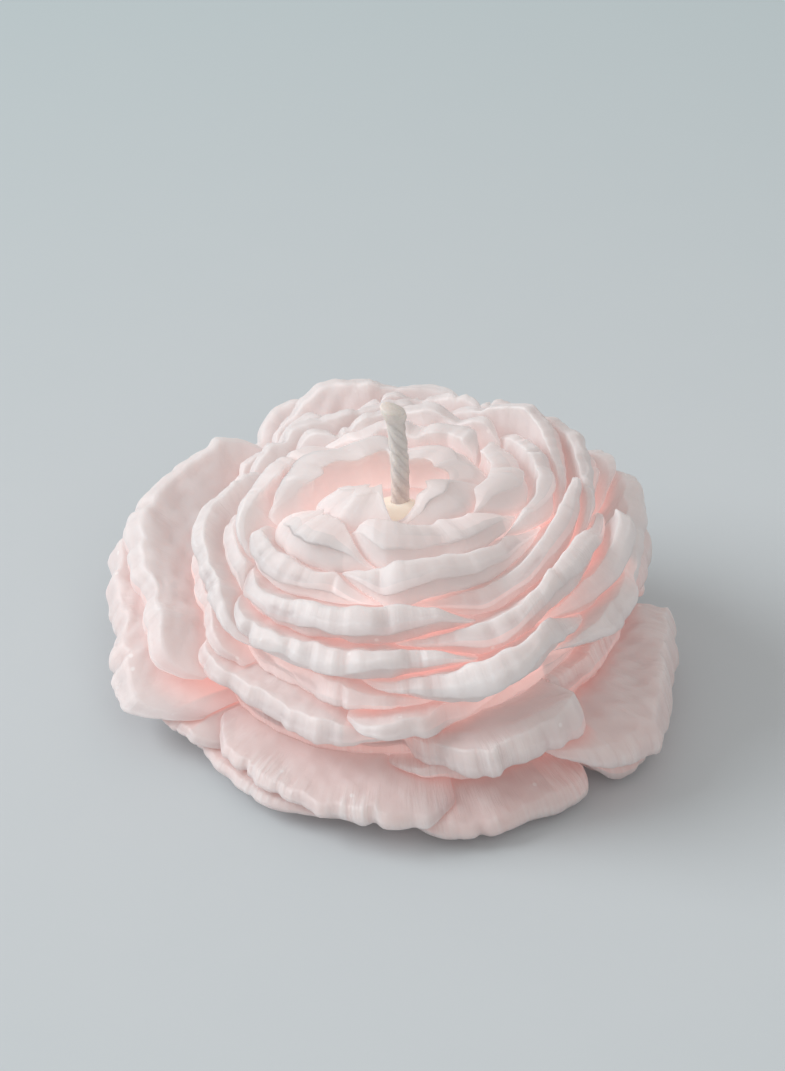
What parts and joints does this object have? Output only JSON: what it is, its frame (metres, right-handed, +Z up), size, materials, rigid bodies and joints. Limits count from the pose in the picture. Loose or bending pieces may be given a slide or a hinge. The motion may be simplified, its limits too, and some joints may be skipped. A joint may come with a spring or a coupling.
{
  "type": "candle",
  "caption": "Peony-shaped wax candle: blush petals overlap in a spiral round a domed wax core, with a primed cotton wick in a metal tab.",
  "frame": {"origin": "on the wick's axis, at the level of the surface that the candle stands on", "axes": "+Z up along the wick, -Y towards the side seen in the picture, +X to that side's right"},
  "size_m": [0.0899, 0.0853, 0.0523],
  "materials": {
    "bloom_petal_1_wax": "hand-rolled blush wax petal, satin, faintly veined",
    "bloom_petal_2_wax": "hand-rolled blush wax petal, satin, faintly veined",
    "bloom_petal_3_wax": "hand-rolled blush wax petal, satin, faintly veined",
    "bloom_petal_4_wax": "hand-rolled blush wax petal, satin, faintly veined",
    "bloom_petal_5_wax": "hand-rolled blush wax petal, satin, faintly veined",
    "bloom_petal_6_wax": "hand-rolled blush wax petal, satin, faintly veined",
    "bud_petal_1_wax": "hand-rolled blush wax petal, satin, faintly veined",
    "bud_petal_2_wax": "hand-rolled blush wax petal, satin, faintly veined",
    "bud_petal_3_wax": "hand-rolled blush wax petal, satin, faintly veined",
    "bud_petal_4_wax": "hand-rolled blush wax petal, satin, faintly veined",
    "bud_petal_5_wax": "hand-rolled blush wax petal, satin, faintly veined",
    "collar_petal_1_wax": "hand-rolled blush wax petal, satin, faintly veined",
    "collar_petal_2_wax": "hand-rolled blush wax petal, satin, faintly veined",
    "collar_petal_3_wax": "hand-rolled blush wax petal, satin, faintly veined",
    "collar_petal_4_wax": "hand-rolled blush wax petal, satin, faintly veined",
    "collar_petal_5_wax": "hand-rolled blush wax petal, satin, faintly veined",
    "collar_petal_6_wax": "hand-rolled blush wax petal, satin, faintly veined",
    "core_wax": "poured blush wax, satin",
    "cup_petal_1_wax": "hand-rolled blush wax petal, satin, faintly veined",
    "cup_petal_2_wax": "hand-rolled blush wax petal, satin, faintly veined",
    "cup_petal_3_wax": "hand-rolled blush wax petal, satin, faintly veined",
    "cup_petal_4_wax": "hand-rolled blush wax petal, satin, faintly veined",
    "cup_petal_5_wax": "hand-rolled blush wax petal, satin, faintly veined",
    "foot_petal_1_wax": "hand-rolled blush wax petal, satin, faintly veined",
    "foot_petal_2_wax": "hand-rolled blush wax petal, satin, faintly veined",
    "foot_petal_3_wax": "hand-rolled blush wax petal, satin, faintly veined",
    "heart_petal_1_wax": "hand-rolled blush wax petal, satin, faintly veined",
    "heart_petal_2_wax": "hand-rolled blush wax petal, satin, faintly veined",
    "heart_petal_3_wax": "hand-rolled blush wax petal, satin, faintly veined",
    "heart_petal_4_wax": "hand-rolled blush wax petal, satin, faintly veined",
    "inner_bloom_petal_1_wax": "hand-rolled blush wax petal, satin, faintly veined",
    "inner_bloom_petal_2_wax": "hand-rolled blush wax petal, satin, faintly veined",
    "inner_bloom_petal_3_wax": "hand-rolled blush wax petal, satin, faintly veined",
    "inner_bloom_petal_4_wax": "hand-rolled blush wax petal, satin, faintly veined",
    "inner_bloom_petal_5_wax": "hand-rolled blush wax petal, satin, faintly veined",
    "inner_bloom_petal_6_wax": "hand-rolled blush wax petal, satin, faintly veined",
    "inner_cup_petal_1_wax": "hand-rolled blush wax petal, satin, faintly veined",
    "inner_cup_petal_2_wax": "hand-rolled blush wax petal, satin, faintly veined",
    "inner_cup_petal_3_wax": "hand-rolled blush wax petal, satin, faintly veined",
    "inner_cup_petal_4_wax": "hand-rolled blush wax petal, satin, faintly veined",
    "inner_cup_petal_5_wax": "hand-rolled blush wax petal, satin, faintly veined",
    "outer_cup_petal_1_wax": "hand-rolled blush wax petal, satin, faintly veined",
    "outer_cup_petal_2_wax": "hand-rolled blush wax petal, satin, faintly veined",
    "outer_cup_petal_3_wax": "hand-rolled blush wax petal, satin, faintly veined",
    "outer_cup_petal_4_wax": "hand-rolled blush wax petal, satin, faintly veined",
    "outer_cup_petal_5_wax": "hand-rolled blush wax petal, satin, faintly veined",
    "skirt_petal_1_wax": "hand-rolled blush wax petal, satin, faintly veined",
    "skirt_petal_2_wax": "hand-rolled blush wax petal, satin, faintly veined",
    "skirt_petal_3_wax": "hand-rolled blush wax petal, satin, faintly veined",
    "skirt_petal_4_wax": "hand-rolled blush wax petal, satin, faintly veined",
    "skirt_petal_5_wax": "hand-rolled blush wax petal, satin, faintly veined",
    "skirt_petal_6_wax": "hand-rolled blush wax petal, satin, faintly veined",
    "wick_cotton": "woven cotton stiffened with wax, matt",
    "seal_wax": "cream wax, satin",
    "tab_metal": "tinned pressed sheet, satin"
  },
  "bodies": {
    "root": {"bloom_petal_1": "bloom_petal_1_wax", "bloom_petal_2": "bloom_petal_2_wax", "bloom_petal_3": "bloom_petal_3_wax", "bloom_petal_4": "bloom_petal_4_wax", "bloom_petal_5": "bloom_petal_5_wax", "bloom_petal_6": "bloom_petal_6_wax", "bud_petal_1": "bud_petal_1_wax", "bud_petal_2": "bud_petal_2_wax", "bud_petal_3": "bud_petal_3_wax", "bud_petal_4": "bud_petal_4_wax", "bud_petal_5": "bud_petal_5_wax", "collar_petal_1": "collar_petal_1_wax", "collar_petal_2": "collar_petal_2_wax", "collar_petal_3": "collar_petal_3_wax", "collar_petal_4": "collar_petal_4_wax", "collar_petal_5": "collar_petal_5_wax", "collar_petal_6": "collar_petal_6_wax", "core": "core_wax", "cup_petal_1": "cup_petal_1_wax", "cup_petal_2": "cup_petal_2_wax", "cup_petal_3": "cup_petal_3_wax", "cup_petal_4": "cup_petal_4_wax", "cup_petal_5": "cup_petal_5_wax", "foot_petal_1": "foot_petal_1_wax", "foot_petal_2": "foot_petal_2_wax", "foot_petal_3": "foot_petal_3_wax", "heart_petal_1": "heart_petal_1_wax", "heart_petal_2": "heart_petal_2_wax", "heart_petal_3": "heart_petal_3_wax", "heart_petal_4": "heart_petal_4_wax", "inner_bloom_petal_1": "inner_bloom_petal_1_wax", "inner_bloom_petal_2": "inner_bloom_petal_2_wax", "inner_bloom_petal_3": "inner_bloom_petal_3_wax", "inner_bloom_petal_4": "inner_bloom_petal_4_wax", "inner_bloom_petal_5": "inner_bloom_petal_5_wax", "inner_bloom_petal_6": "inner_bloom_petal_6_wax", "inner_cup_petal_1": "inner_cup_petal_1_wax", "inner_cup_petal_2": "inner_cup_petal_2_wax", "inner_cup_petal_3": "inner_cup_petal_3_wax", "inner_cup_petal_4": "inner_cup_petal_4_wax", "inner_cup_petal_5": "inner_cup_petal_5_wax", "outer_cup_petal_1": "outer_cup_petal_1_wax", "outer_cup_petal_2": "outer_cup_petal_2_wax", "outer_cup_petal_3": "outer_cup_petal_3_wax", "outer_cup_petal_4": "outer_cup_petal_4_wax", "outer_cup_petal_5": "outer_cup_petal_5_wax", "skirt_petal_1": "skirt_petal_1_wax", "skirt_petal_2": "skirt_petal_2_wax", "skirt_petal_3": "skirt_petal_3_wax", "skirt_petal_4": "skirt_petal_4_wax", "skirt_petal_5": "skirt_petal_5_wax", "skirt_petal_6": "skirt_petal_6_wax", "wick": "wick_cotton", "wick_seal": "seal_wax", "wick_tab": "tab_metal"}
  },
  "joints": []
}
